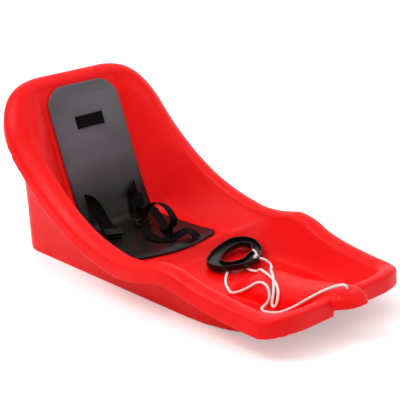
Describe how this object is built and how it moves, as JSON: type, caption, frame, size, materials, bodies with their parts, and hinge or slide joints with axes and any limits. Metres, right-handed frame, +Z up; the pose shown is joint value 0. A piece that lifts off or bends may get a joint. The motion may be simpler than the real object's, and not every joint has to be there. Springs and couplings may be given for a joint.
{
  "type": "child's pull sled",
  "caption": "One-piece moulded child's seat sled with high back, padded mat, lap belt with side-release buckle, and a pull rope with a closed handle.",
  "frame": {"origin": "on the ground under the middle of the sled, without its rope", "axes": "+X forward to the nose, +Y to the seated child's left, +Z up"},
  "size_m": [0.7878, 0.412, 0.3367],
  "materials": {
    "shell_plastic": "satin moulded polyethylene, bright red",
    "mat_foam": "matt dark grey foam mat with a fabric face",
    "webbing": "black woven strap",
    "buckle_plastic": "black moulded plastic",
    "handle_plastic": "black moulded plastic",
    "rope": "white braided cord"
  },
  "bodies": {
    "sled": {"shell": "shell_plastic", "seat_mat": "mat_foam", "harness_webbing": "webbing", "pull_rope": "rope", "nose_knot": "rope"},
    "handle": {"pull_handle": "handle_plastic", "handle_knot": "rope"},
    "socket": {"buckle_socket": "buckle_plastic"},
    "plug": {"buckle_plug": "buckle_plastic"}
  },
  "joints": [
    {"name": "handle_lift", "type": "hinge", "parent": "sled", "child": "handle", "pos_m": [0.0808, 0.0768, 0.0418], "axis": [-0.3081, 0.9494, 0.061], "range_deg": [0, 40]},
    {"name": "socket_swing", "type": "hinge", "parent": "sled", "child": "socket", "pos_m": [-0.19424, -0.0572, 0.05992], "axis": [-0.475, -0.88, 0], "range_deg": [0, 60]},
    {"name": "plug_swing", "type": "hinge", "parent": "sled", "child": "plug", "pos_m": [-0.19267, 0.02402, 0.06034], "axis": [-0.53, -0.848, 0], "range_deg": [0, 45]}
  ]
}
